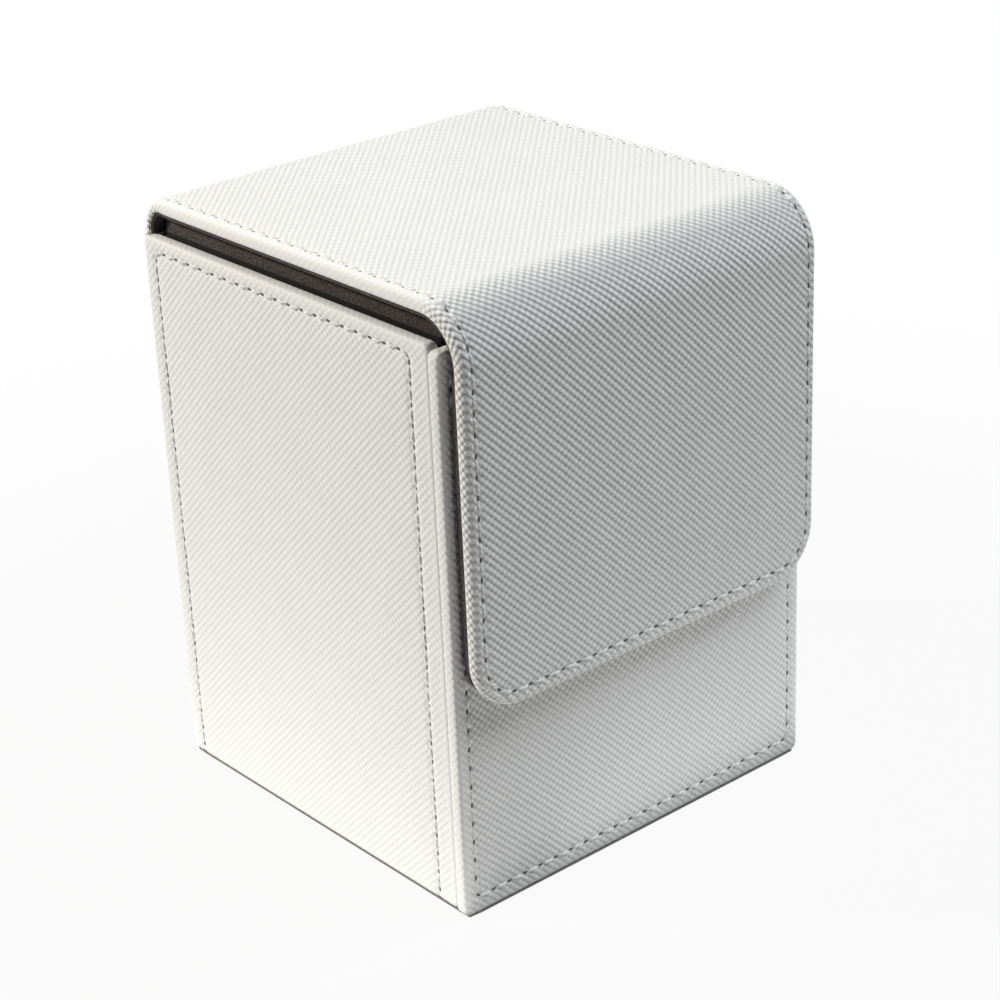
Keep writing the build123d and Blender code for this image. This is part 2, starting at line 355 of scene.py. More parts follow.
class Outline:
    """A sheet's flat outline: a from -half to half, b from low to high, with round corners.

    A cut end is square and has no turned edge, because the sheet goes on in the next piece.
    """

    def __init__(self, half, low, high, low_radius, high_radius, low_cut=False, high_cut=False):
        self.half = half
        self.low = low
        self.high = high
        self.low_radius = 0 if low_cut else low_radius
        self.high_radius = 0 if high_cut else high_radius
        self.low_cut = low_cut
        self.high_cut = high_cut

    def holds(self, b):
        """True between the two ends."""
        return (b >= self.low) & (b < self.high)

    def corner(self, a, b):
        """How far a point lies into the nearest corner's square, across and along, and its radius."""
        lower = b < (self.low + self.high) / 2
        radius = np.where(lower, self.low_radius, self.high_radius)
        across = np.abs(a) - (self.half - radius)
        along = np.where(lower, self.low + radius - b, b - (self.high - radius))
        inside = (across > 0) & (along > 0)
        return lower, radius, across, along, inside

    def rounded(self, a, b):
        """Lays each corner's square on a quarter disc: p' = p sqrt(1 - q^2/2r^2), and q' likewise."""
        lower, radius, across, along, inside = self.corner(a, b)
        safe = np.where(inside, radius, 1)
        p = np.where(inside, across / safe, 0)
        q = np.where(inside, along / safe, 0)
        shift_a = np.where(inside, across * (np.sqrt(1 - q * q / 2) - 1), 0)
        shift_b = np.where(inside, along * (np.sqrt(1 - p * p / 2) - 1), 0)
        return a + np.sign(a) * shift_a, b + np.where(lower, -shift_b, shift_b)

    def edge(self, a, b):
        """Distance in from the edge, and the direction out to it: radial in corners, else straight."""
        lower, radius, across, along, inside = self.corner(a, b)
        to_side = self.half - np.abs(a)
        cut = np.where(lower, self.low_cut, self.high_cut)
        to_end = np.where(lower, b - self.low, self.high - b) + np.where(cut, self.half, 0)
        reach = np.where(inside, np.hypot(across, along), 1)
        reach = np.where(reach > 0, reach, 1)
        sideways = to_side <= to_end
        end = np.where(lower, -1.0, 1.0)
        out_a = np.where(inside, across / reach, sideways) * np.sign(a)
        out_b = np.where(inside, along / reach, ~sideways) * end
        distance = np.where(inside, radius - reach, np.minimum(to_side, to_end))
        return distance, out_a, out_b


class Seam:
    """A line of stitches: up the left, across the high end, down the right and, if closed, back."""

    def __init__(self, outline, pitch, shift=0.0, closed=True):
        self.outline = outline
        self.shift = shift
        self.closed = closed
        quarter = np.linspace(0, math.pi / 2, CORNER_STEPS)
        corners = [(-1, outline.high, outline.high_radius), (1, outline.high, outline.high_radius)]
        if closed:
            corners += [(1, outline.low, outline.low_radius), (-1, outline.low, outline.low_radius)]
        runs = []
        for turn, (side, end, radius) in enumerate(corners):
            angle = math.pi * (1 - turn / 2) - quarter
            inward = -1 if turn < 2 else 1
            centre = np.array([side * (outline.half - radius), end + inward * radius])
            runs.append(centre + radius * np.stack([np.cos(angle), np.sin(angle)], 1))
        first = runs[0][:1] if closed else np.array([[-outline.half, outline.low]])
        last = first if closed else np.array([[outline.half, outline.low]])
        points = np.concatenate(([] if closed else [first]) + runs + [last])
        self.points = points + np.array([shift, 0])
        steps = np.hypot(*np.diff(self.points, axis=0).T)
        self.length_to = np.concatenate([[0], np.cumsum(steps)])
        self.length = self.length_to[-1]
        count = round(self.length / pitch)
        self.pitch = self.length / count
        self.holes = (np.arange(count) + 0.5) * self.pitch

    def at(self, s):
        """The seam's points and unit directions at the lengths s."""
        def place(length):
            length = np.mod(length, self.length)
            a = np.interp(length, self.length_to, self.points[:, 0])
            b = np.interp(length, self.length_to, self.points[:, 1])
            return np.stack([a, b], -1)
        ahead = place(s + FINE_STEP) - place(s - FINE_STEP)
        return place(s), ahead / np.linalg.norm(ahead, axis=-1, keepdims=True)

    def pull(self, a, b, groove, dimple, width):
        """Depth of the pulled-in seam: groove e^-(d/w)^2 along it, and a dimple at each hole."""
        distance = self.outline.edge(a - self.shift, b)[0]
        holes = self.at(self.holes)[0]
        flat_a = a.ravel()[:, None] - holes[None, :, 0]
        flat_b = b.ravel()[:, None] - holes[None, :, 1]
        nearest = np.min(flat_a ** 2 + flat_b ** 2, axis=1).reshape(a.shape)
        return groove * np.exp(-(distance / width) ** 2) + dimple * np.exp(-nearest / width ** 2)


# Places

def flat_place(origin, across, along):
    """Lays a sheet in a plane: point = origin + a across + b along - depth (across x along)."""
    across = np.array(across, float)
    along = np.array(along, float)
    face = np.cross(across, along)

    def place(a, b, depth):
        return np.array(origin) + a[..., None] * across + b[..., None] * along - depth[..., None] * face
    return place


class Strip:
    """Where the lid strip runs: up the back, round the crease, over the lid, round the bend, down.

    b is the length along the outer face from the back's lower end. The heading turns by 90 degrees
    along each quarter circle, and depth goes inwards, square to the heading.
    """

    def __init__(self, covers):
        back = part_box("back_skin")
        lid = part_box("lid_skin")
        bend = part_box("front_bend_skin")
        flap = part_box("flap_skin")
        self.half = lid[1].x
        self.back_y = back[1].y
        self.foot_z = back[0].z
        self.crease_radius = covers.crease_radius
        self.crease_thickness = covers.crease_thickness
        self.bend_radius = bend[1].y - bend[0].y
        self.lid_length = self.back_y - self.crease_radius - lid[0].y
        self.back_end = back[1].z - self.foot_z
        self.crease_start = lid[1].z - self.crease_radius - self.foot_z
        self.lid_start = self.crease_start + self.crease_radius * math.pi / 2
        self.bend_start = self.lid_start + self.lid_length
        self.flap_start = self.bend_start + self.bend_radius * math.pi / 2
        self.end = self.flap_start + flap[1].z - flap[0].z
        self.middle = (self.lid_start + self.bend_start) / 2
        self.fold = (self.bend_start + self.flap_start) / 2
        self.crease = (self.crease_start + self.lid_start) / 2

    def place(self, a, b, depth):
        """The point at a, b and depth: straight runs and quarter circles added up by clipping b."""
        first = np.clip((b - self.crease_start) / self.crease_radius, 0, math.pi / 2)
        second = np.clip((b - self.bend_start) / self.bend_radius, 0, math.pi / 2)
        rise = np.minimum(b, self.crease_start)
        run = np.clip(b - self.lid_start, 0, self.lid_length)
        drop = np.maximum(b - self.flap_start, 0)
        y = (self.back_y - self.crease_radius * (1 - np.cos(first)) - run
             - self.bend_radius * np.sin(second))
        z = (self.foot_z + rise + self.crease_radius * np.sin(first)
             - self.bend_radius * (1 - np.cos(second)) - drop)
        heading = first + second
        return np.stack([-a, y - depth * np.cos(heading), z - depth * np.sin(heading)], -1)

    def thickness(self, b):
        """One sheet on the back, softly thickening in the crease, and card and sheet after it."""
        growth = smoothstep((b - self.crease) / (self.lid_start - self.crease))
        strip = self.crease_thickness + (PANEL - self.crease_thickness) * growth
        return np.where(b < self.back_end, SKIN, strip)

    def lining(self, b, on_flap):
        """Thickness of the lining, which grows by on_flap in the flap's first few millimetres."""
        return LINING + on_flap * smoothstep((b - self.flap_start) / FLAP_LINING_REACH)

    def on_lid(self, b):
        """1 along the lid, falling off to 0 in the crease and in the bend."""
        after_crease = smoothstep((b - self.lid_start) / LID_REACH + 1)
        before_bend = smoothstep((self.bend_start - b) / LID_REACH + 1)
        return after_crease * before_bend

    def halves(self, half, low, high, low_radius, high_radius):
        """A sheet along the strip in two halves: the outline of each, its close lines in the turn, its
        bodies, and the two points of the strip's outer face between which it bends.
        """
        back = Outline(half, low, self.middle, low_radius, 0, high_cut=True)
        front = Outline(half, self.middle, high, 0, high_radius, low_cut=True)
        crease = np.arange(self.crease_start, self.lid_start, FINE_STEP)
        bend = np.arange(self.bend_start, self.flap_start, BEND_STEP)
        joints = np.array([self.crease - CREASE_REACH, self.crease + CREASE_REACH,
                           self.fold - FOLD_REACH, self.fold + FOLD_REACH])
        points = [tuple(point) for point in self.place(0 * joints, joints, 0 * joints)]
        return (back, crease, ("box", "lid"), points[:2]), (front, bend, ("lid", "flap"), points[2:])


# Meshes

def edge_lines(roll, margin=0.0):
    """Distances in from an edge: even angles round the roll, r(1 - cos t), then fine steps."""
    turn = np.linspace(0, math.pi / 2, ROLL_STEPS + 1)
    return np.concatenate([roll * (1 - np.cos(turn)), np.arange(roll, margin, FINE_STEP)[1:]])


def grid_lines(low, high, low_edge, high_edge, step=COARSE_STEP, extra=()):
    """Sample lines from low to high: close ones at the edges, even ones between, and extra ones."""
    start = low + low_edge[-1]
    stop = high - high_edge[-1]
    middle = np.linspace(start, stop, math.ceil((stop - start) / step) + 1)
    lines = np.sort(np.concatenate([low + low_edge, middle, high - high_edge, np.array(extra)]))
    lines = lines[(lines >= low) & (lines <= high)]
    return lines[np.concatenate([[True], np.diff(lines) > LEAST_STEP])]


def grid_faces(index):
    """One quad for each cell of a grid of point numbers."""
    corners = [index[:-1, :-1], index[:-1, 1:], index[1:, 1:], index[1:, :-1]]
    return np.stack(corners, -1).reshape(-1, 4)


def sheet_mesh(name, outline, across, along, place, roll, rings, relief=untouched, press=untouched):
    """A closed sheet. Its face is a grid of a and b whose depth is r(1 - sqrt(1 - (1 - d/r)^2))
    within the roll r of the edge, plus the relief. Rings of (inset, depth) follow its edge down and
    in, and the last ring is closed by straight rungs from side to side. press says how far the
    surface is pressed flat, or on the liner painted near-black as shade, at b and at a distance d
    from the edge.
    """
    a, b = outline.rounded(*np.meshgrid(across, along))
    distance, out_a, out_b = outline.edge(a, b)
    radius = roll(b)
    bend = np.clip(1 - distance / radius, 0, 1)
    depth = radius * (1 - np.sqrt(1 - bend * bend)) + relief(a, b, distance)
    wrap = radius * (np.arcsin(bend) - bend)
    flat = [np.stack([a, b, depth], -1).reshape(-1, 3)]
    sheet = [np.stack([a + out_a * wrap, b + out_b * wrap], -1).reshape(-1, 2)]
    pressed = [press(b, distance).ravel()]

    rows, columns = a.shape
    index = np.arange(rows * columns).reshape(rows, columns)
    quads = [grid_faces(index)]
    ring = np.concatenate([index[0, :], index[1:, -1], index[-1, -2::-1], index[-2:0:-1, 0]])
    count = len(ring)
    rim_a, rim_b, rim_depth = flat[0][ring].T
    side_a, side_b = out_a.ravel()[ring], out_b.ravel()[ring]
    rim_sheet = sheet[0][ring]
    for number, (inset, level) in enumerate(rings(rim_b)):
        flat.append(np.stack([rim_a - side_a * inset, rim_b - side_b * inset, level], -1))
        sheet.append(rim_sheet + np.stack([side_a, side_b], -1) * (level - rim_depth)[:, None])
        pressed.append(press(rim_b, np.zeros(count)))
        lower = rows * columns + number * count + np.arange(count)
        quads.append(np.stack([np.roll(ring, -1), ring, lower, np.roll(lower, -1)], -1))
        ring = lower

    last = columns - 1
    top = rows - 1
    right = ring[last + np.arange(rows)]
    left = ring[np.mod(-np.arange(rows), count)]
    inner = slice(1, top - 1)
    after = slice(2, top)
    quads.append(np.stack([left[inner], left[after], right[after], right[inner]], -1))
    low_end = np.array([*ring[last::-1], left[1], right[1]])
    high_end = np.array([*ring[last + top + last:last + top - 1:-1], right[top - 1], left[top - 1]])
    faces = [*np.concatenate(quads).tolist(), low_end.tolist(), high_end.tolist()]
    piece = new_piece(name, place(*np.concatenate(flat).T), faces, np.concatenate(sheet))
    share = piece.data.attributes.new(PRESSED_OR_SHADED, "FLOAT", "POINT")
    share.data.foreach_set("value", np.concatenate(pressed).astype(np.float32))
    return piece


def new_piece(name, points, faces, sheet):
    """Puts points, faces and flat sheet coordinates into a new smooth object at the origin."""
    mesh = bpy.data.meshes.new(name)
    mesh.from_pydata(points.tolist(), [], faces)
    layer = mesh.uv_layers.new(name=SHEET_UV)
    corner = np.zeros(len(mesh.loops), np.int32)
    mesh.loops.foreach_get("vertex_index", corner)
    layer.data.foreach_set("uv", sheet[corner].astype(np.float32).ravel())
    mesh.shade_smooth()
    mesh.set_sharp_from_angle(angle=SHARP_ANGLE)
    if mesh.validate():
        raise RuntimeError(f"{name} has faces that are not sound")
    piece = bpy.data.objects.new(name, mesh)
    bpy.context.scene.collection.objects.link(piece)
    return piece


def tube_faces(count, rings, sides):
    """Quads round each of count closed tubes of rings x sides points, and a cap at both ends."""
    index = np.arange(count * rings * sides).reshape(count, rings, sides)
    here, ahead = index[:, :-1], index[:, 1:]
    quads = np.stack([here, np.roll(here, -1, 2), np.roll(ahead, -1, 2), ahead], -1).reshape(-1, 4)
    caps = np.concatenate([index[:, 0, ::-1], index[:, -1, :]])
    return quads.tolist() + caps.tolist()


def thread_mesh(name, seam, place, seams, keep):
    """Stitches from hole to hole. Each is a tube whose centre rises as sin(pi t) between its holes
    and whose radius swells from half to full as the root of that. keep says by b which stitches
    belong here.
    """
    start = seam.holes if seam.closed else seam.holes[:-1]
    start = start[keep(seam.at(start + seam.pitch / 2)[0][:, 1])]
    inset = STITCH_END * seams.hole_length / seam.pitch
    t = np.linspace(0, 1, STITCH_RINGS)
    s = start[:, None] + seam.pitch * (inset + (1 - 2 * inset) * t)
    centre, ahead = seam.at(s)
    arch = np.sin(math.pi * t)
    radius = seams.thread / 2 * (0.5 + 0.5 * np.sqrt(arch))
    turn = np.linspace(0, 2 * math.pi, STITCH_SIDES, endpoint=False)
    across = radius[:, None] * np.cos(turn)
    up = radius[:, None] * np.sin(turn)
    a = centre[..., 0, None] - ahead[..., 1, None] * across
    b = centre[..., 1, None] + ahead[..., 0, None] * across
    level = seams.groove + seams.thread * (STITCH_DEPTH - STITCH_RISE * arch)
    depth = np.broadcast_to(level[:, None] - up, a.shape)
    points = place(a.ravel(), b.ravel(), depth.ravel())
    length = np.broadcast_to(s[..., None], a.shape).ravel()
    around = np.broadcast_to(turn * seams.thread / 2, a.shape).ravel()
    faces = tube_faces(len(start), STITCH_RINGS, STITCH_SIDES)
    return new_piece(name, points, faces, np.stack([length, around], -1))


def hole_shade_mesh(name, seam, place, seams, keep, tightness):
    """Needle holes drawn as painted shade: flat dark ovals, each a closed lens of rings cos(t) wide whose rim
    lies in the groove.
    tightness says by b how far the leatherette has closed round the holes.
    """
    centre, ahead = seam.at(seam.holes)
    here = keep(centre[:, 1])
    centre, ahead = centre[here, :, None, None], ahead[here, :, None, None]
    size = 1 - tightness(centre[:, 1])
    lens = np.linspace(-HOLE_CUT, HOLE_CUT, HOLE_RINGS) * math.pi / 2
    turn = np.linspace(0, 2 * math.pi, HOLE_SIDES, endpoint=False)
    along = size * seams.hole_length / 2 * np.cos(lens)[:, None] * np.cos(turn)
    across = size * seams.hole_width / 2 * np.cos(lens)[:, None] * np.sin(turn)
    a = centre[:, 0] + ahead[:, 0] * along - ahead[:, 1] * across
    b = centre[:, 1] + ahead[:, 1] * along + ahead[:, 0] * across
    thick = seams.hole_width * HOLE_THICKNESS
    level = seams.groove + seams.dimple - thick / 2 - thick * np.sin(lens)
    depth = np.broadcast_to(level[:, None], a.shape)
    points = place(a.ravel(), b.ravel(), depth.ravel())
    faces = tube_faces(len(centre), HOLE_RINGS, HOLE_SIDES)
    return new_piece(name, points, faces, np.stack([a.ravel(), b.ravel()], -1))


# Finishes

def feed(tree, made, inputs):
    """Sets a node's inputs, each from a plain value or by a link from a socket."""
    for key, value in inputs.items():
        if isinstance(value, bpy.types.NodeSocket):
            tree.links.new(value, made.inputs[key])
        else:
            made.inputs[key].default_value = value


def node(tree, kind, inputs, **settings):
    """Adds a node: settings are its own properties, and inputs are values or sockets to link."""
    made = tree.nodes.new(kind)
    for key, value in settings.items():
        setattr(made, key, value)
    feed(tree, made, inputs)
    return made


def math_node(tree, operation, first, second=0.0):
    """One sum on two values or sockets."""
    return node(tree, "ShaderNodeMath", {0: first, 1: second}, operation=operation).outputs[0]


def mix_colours(tree, share, first, second):
    """first where share is 0, second where it is 1."""
    inputs = {MIX_SHARE: share, MIX_FIRST: first, MIX_SECOND: second}
    return node(tree, "ShaderNodeMix", inputs, data_type="RGBA").outputs[MIX_RESULT]


def spread(tree, value, low, high):
    """Takes a value from 0 to 1 onto low to high."""
    return node(tree, "ShaderNodeMapRange", {"Value": value, "To Min": low, "To Max": high}).outputs[0]


def noise(tree, vector, size, detail=2.0):
    """Noise with features about as large as size, in metres."""
    inputs = {"Vector": vector, "Scale": 1 / size, "Detail": detail}
    return node(tree, "ShaderNodeTexNoise", inputs).outputs["Fac"]


def uneven(tree, vector, patches, detail=2.0):
    """A value that wanders over the surface, by the size, the least and the most of its patches."""
    size, low, high = patches
    return spread(tree, noise(tree, vector, size, detail), low, high)


def bump(tree, height, distance, strength=1.0):
    """A surface raised by height times distance."""
    inputs = {"Strength": strength, "Distance": distance, "Height": height}
    return node(tree, "ShaderNodeBump", inputs).outputs[0]


# Share of ribs pressed flat on the covers, and of painted shade on the liner
def pressed_or_shaded_share(tree):
    return node(tree, "ShaderNodeAttribute", {}, attribute_name=PRESSED_OR_SHADED).outputs["Fac"]


def sheet_coordinates(tree):
    return node(tree, "ShaderNodeUVMap", {}, uv_map=SHEET_UV).outputs[0]


def object_coordinates(tree):
    return node(tree, "ShaderNodeTexCoord", {}).outputs["Object"]


def shade(colour, brightness=1.0):
    """A colour with its alpha, made darker or paler."""
    return (*(brightness * c for c in colour), 1.0)


def new_finish(name):
    """A material with its node tree and its Principled shader."""
    material = bpy.data.materials.new(name)
    material.use_nodes = True
    tree = material.node_tree
    return material, tree, tree.nodes["Principled BSDF"]


def ribs(tree, vector, direction):
    """Even ribs one unit apart: rounded ridges with narrower valleys, a sine wave to a power below 1."""
    inputs = {"Vector": vector, "Scale": ONE_BAND, "Distortion": 0.5, "Detail": 1.0, "Detail Scale": 0.4}
    wave = node(tree, "ShaderNodeTexWave", inputs, bands_direction=direction, wave_profile="SIN")
    return math_node(tree, "POWER", wave.outputs["Fac"], RIDGE_POWER)


def leatherette(name, coordinates, covers, main, rib_height, valley_shade_colour):
    """Ribbed leatherette: main ribs at 45 degrees, lower ones across them, with painted shade making the
    valleys darker.
    """
    material, tree, shader = new_finish(name)
    sheet = coordinates(tree)
    scale = 1 / covers.rib_pitch
    slant = {"Vector": sheet, "Rotation": (0, 0, math.pi / 4), "Scale": (scale, scale, scale)}
    diagonal = node(tree, "ShaderNodeMapping", slant).outputs[0]
    first = ribs(tree, diagonal, main)
    second = ribs(tree, diagonal, "X" if main == "Y" else "Y")
    second = math_node(tree, "MULTIPLY", second, covers.cross_share)
    both = math_node(tree, "ADD", first, second)
    raised = math_node(tree, "SUBTRACT", 1.0, pressed_or_shaded_share(tree))
    wear = math_node(tree, "MULTIPLY", uneven(tree, sheet, RIB_WEAR), raised)
    height = math_node(tree, "ADD", math_node(tree, "MULTIPLY", both, wear),
                       uneven(tree, sheet, LEATHER_GRAIN))
    ridge = math_node(tree, "DIVIDE", both, 1 + covers.cross_share)
    # Painted shade: the colour darkens towards the valleys between the ribs, less where the ribs are pressed
    # flat
    valley_shade = math_node(tree, "MULTIPLY", math_node(tree, "SUBTRACT", 1.0, ridge), raised)
    tint = math_node(tree, "ADD", 1.0, uneven(tree, sheet, RIB_TINT))
    share = math_node(tree, "SUBTRACT", tint, valley_shade)
    feed(tree, shader, {
        "Base Color": mix_colours(tree, share, shade(valley_shade_colour), shade(covers.colour)),
        "Roughness": uneven(tree, sheet, RIB_ROUGHNESS),
        "Normal": bump(tree, height, rib_height),
        "Specular IOR Level": 0.15,
    })
    return material


def sewing_thread(name, coordinates, seams):
    """Twisted thread: slanting bands along it, painted darker in the twist's grooves as shade, with a soft
    sheen.
    """
    material, tree, shader = new_finish(name)
    thread = seams.thread_colour
    inputs = {"Vector": coordinates(tree), "Scale": ONE_BAND / THREAD_TWIST, "Distortion": 1.0}
    twist = node(tree, "ShaderNodeTexWave", inputs, bands_direction="DIAGONAL").outputs["Fac"]
    feed(tree, shader, {
        "Base Color": mix_colours(tree, twist, shade(thread, TWIST_GROOVE_SHADE), shade(thread)),
        "Normal": bump(tree, twist, THREAD_RELIEF, strength=0.8),
        "Roughness": 0.6,
        "Sheen Weight": 0.2,
    })
    return material


def needle_hole(name, coordinates, seams):
    """Painted shade inside a needle hole, with a little lint."""
    material, tree, shader = new_finish(name)
    dark = seams.hole_shade_colour
    lint = noise(tree, coordinates(tree), HOLE_LINT)
    feed(tree, shader, {
        "Base Color": mix_colours(tree, lint, shade(dark), shade(dark, LINT_SHADE)),
        "Roughness": 0.95,
        "Specular IOR Level": 0.1,
    })
    return material


def suede(name, coordinates, inside):
    """Short nap: fine fibres, patches where it is brushed the other way, and near-black painted shade where
    marked, standing for the shadow in the groove below the liner's rim.
    """
    material, tree, shader = new_finish(name)
    place = coordinates(tree)
    fibre = noise(tree, place, NAP_FIBRE, detail=3.0)
    low, high = NAP_TUFTS
    tuft = node(tree, "ShaderNodeMapRange", {"Value": fibre, "From Min": low, "From Max": high}).outputs[0]
    share = math_node(tree, "MULTIPLY", tuft, uneven(tree, place, NAP_PATCHES, detail=3.0))
    nap = mix_colours(tree, share, shade(inside.suede_colour), shade(inside.nap_colour))
    feed(tree, shader, {
        # Painted shade: near-black where the mask marks the groove below the liner's rim
        "Base Color": mix_colours(tree, pressed_or_shaded_share(tree), nap, shade(inside.groove_shade_colour)),
        "Normal": bump(tree, fibre, NAP_RELIEF, strength=0.7),
        "Roughness": 0.95,
        "Specular IOR Level": 0.15,
        "Sheen Weight": 0.12,
        "Sheen Roughness": 0.5,
    })
    return material


def card(name, coordinates, base):
    """Pressed card: cloudy pulp with pale and dark flecks."""
    material, tree, shader = new_finish(name)
    place = coordinates(tree)
    pulp = noise(tree, place, CARD_PULP, detail=4.0)
    fleck = math_node(tree, "MULTIPLY", noise(tree, place, CARD_FLECK), FLECK_GAIN)
    share = math_node(tree, "MULTIPLY", pulp, fleck)
    dark, pale = PULP_SHADES
    feed(tree, shader, {
        "Base Color": mix_colours(tree, share, shade(base, dark), shade(base, pale)),
        "Normal": bump(tree, pulp, CARD_RELIEF, strength=0.5),
        "Roughness": 0.9,
    })
    return material


def nickel(name, coordinates, inside):
    """Nickel plating with fine tumbling marks."""
    material, tree, shader = new_finish(name)
    plating = inside.nickel_colour
    marks = noise(tree, coordinates(tree), PLATING_MARK, detail=4.0)
    feed(tree, shader, {
        "Base Color": mix_colours(tree, marks, shade(plating, PLATING_SHADE), shade(plating)),
        "Roughness": spread(tree, marks, *PLATING_ROUGHNESS),
        "Metallic": 1.0,
    })
    return material


def finish(name, make, coordinates, *settings):
    """The finish of that name, made once."""
    return bpy.data.materials.get(name) or make(name, coordinates, *settings)


def wear_finish(piece, material):
    """Gives a new piece its finish."""
    piece.data.materials.append(material)


# Sewing

def wave(p, q, length, wander, bend):
    """A wave along p whose crests wander with q: sin(p/length + bend sin(q/wander))."""
    return np.sin(p / length + bend * np.sin(q / wander))


def cover_relief(covers, seams, seam):
    """Depth added to a cover's face: the crowned middle, soft ripples and the pulled-in seam."""
    def relief(a, b, distance):
        crown = covers.crown * smoothstep(distance / CROWN_REACH)
        ripple = covers.ripple * wave(a, b, *ACROSS_RIPPLE) * wave(b, a, *ALONG_RIPPLE)
        pull = seam.pull(a, b, seams.groove, seams.dimple, seams.thread)
        return pull - crown + ripple * smoothstep(distance / RIPPLE_REACH)
    return relief


def sew(name, outline, seam, place, seams, tightness=even(0.0)):
    """The thread of one seam and the dark lenses of painted shade in its needle holes, as far as the outline
    goes, as two pieces.
    """
    thread = thread_mesh(f"{name}_thread", seam, place, seams, outline.holds)
    wear_finish(thread, finish("sewing_thread", sewing_thread, sheet_coordinates, seams))
    # Dark lenses of painted shade in the needle holes
    holes = hole_shade_mesh(f"{name}_painted_hole_shades", seam, place, seams, outline.holds, tightness)
    wear_finish(holes, finish("needle_hole", needle_hole, object_coordinates, seams))
    return thread, holes


def rolled_rings(thick, radius):
    """An edge's lower rounding: rings r(1 - cos t) in from the edge and r(1 - sin t) off the back."""
    turn = np.linspace(0, math.pi / 2, ROLL_STEPS // 2 + 1)
    return [(radius * (1 - math.cos(t)), thick - radius * (1 - math.sin(t))) for t in turn]


def hem_rings(thick, hem, pocket):
    """A cover's edge: down, round the hem, in under the card, and up to the pocket's floor."""
    return [*rolled_rings(thick, hem), (SKIN, thick), (SKIN, pocket)]


def sewn_panel(name, skin, outline, place, covers, seams, seam, margins, leather):
    """An upright panel's cover, thread and needle holes, on the box. margins are the distances to the
    seam at a's and b's ends.
    """
    reach = [edge_lines(covers.panel_roll, margin + SEAM_REACH) for margin in margins]
    across = grid_lines(-outline.half, outline.half, reach[0], reach[1])
    along = grid_lines(outline.low, outline.high, reach[2], reach[3])
    relief = cover_relief(covers, seams, seam)

    def rings(b):
        return hem_rings(np.full(b.shape, PANEL), covers.hem_roll, np.full(b.shape, SKIN))

    def press(b, distance):
        return covers.edge_smooth * turned(distance)
    cover = sheet_mesh(f"{name}_cover", outline, across, along, place, even(covers.panel_roll), rings,
                       relief, press)
    wear_finish(cover, leather)
    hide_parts(skin)
    for piece in (cover, *sew(name, outline, seam, place, seams)):
        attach(piece, "box")


# Operators

class CARDBOX_OT_side_panels(bpy.types.Operator):
    """Makes the left and right side covers, stitched on three edges"""
    bl_idname = "cardbox.side_panels"
    bl_label = "Side Panels"
    bl_options = {"REGISTER", "UNDO"}

    def execute(self, context):
        covers = context.scene.card_box_covers
        seams = context.scene.card_box_seams
        leather = finish("side_ribs", leatherette, sheet_coordinates, covers, "X", covers.side_rib_height,
                         covers.side_valley_shade_colour)
        for side, sign in (("left", -1), ("right", 1)):
            skin = f"{side}_side_skin"
            low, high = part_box(skin)
            half = (high.y - low.y) / 2
            rise = high.z - low.z
            face = low.x if sign < 0 else high.x
            place = flat_place((face, (low.y + high.y) / 2, low.z), (0, sign, 0), (0, 0, 1))
            outline = Outline(half, 0, rise, covers.foot_corner, covers.panel_corner)
            left, right = seams.side_back_margin, seams.side_front_margin
            if sign > 0:
                left, right = right, left
            path = Outline(half - (left + right) / 2, 0, rise - seams.side_top_margin, 0, seams.corner,
                           low_cut=True)
            seam = Seam(path, seams.pitch, shift=(left - right) / 2, closed=False)
            margins = (left, right, 0, seams.side_top_margin)
            sewn_panel(f"{side}_side", skin, outline, place, covers, seams, seam, margins, leather)
        return {"FINISHED"}


class CARDBOX_OT_front_panel(bpy.types.Operator):
    """Makes the front cover, stitched all round"""
    bl_idname = "cardbox.front_panel"
    bl_label = "Front Panel"
    bl_options = {"REGISTER", "UNDO"}

    def execute(self, context):
        covers = context.scene.card_box_covers
        seams = context.scene.card_box_seams
        inside = context.scene.card_box_inside
        leather = finish("front_ribs", leatherette, sheet_coordinates, covers, "Y", covers.front_rib_height,
                         covers.valley_shade_colour)
        low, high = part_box("front_skin")
        rise = high.z - low.z
        place = flat_place((0, low.y, low.z), (1, 0, 0), (0, 0, 1))
        outline = Outline(high.x, inside.sheet_edge, rise, covers.panel_corner, covers.panel_corner)
        side, foot = seams.front_margin, seams.foot_margin
        seam = Seam(Outline(high.x - side, foot, rise - foot, seams.corner, seams.corner), seams.pitch)
        margins = (side, side, foot, foot)
        sewn_panel("front", "front_skin", outline, place, covers, seams, seam, margins, leather)
        return {"FINISHED"}


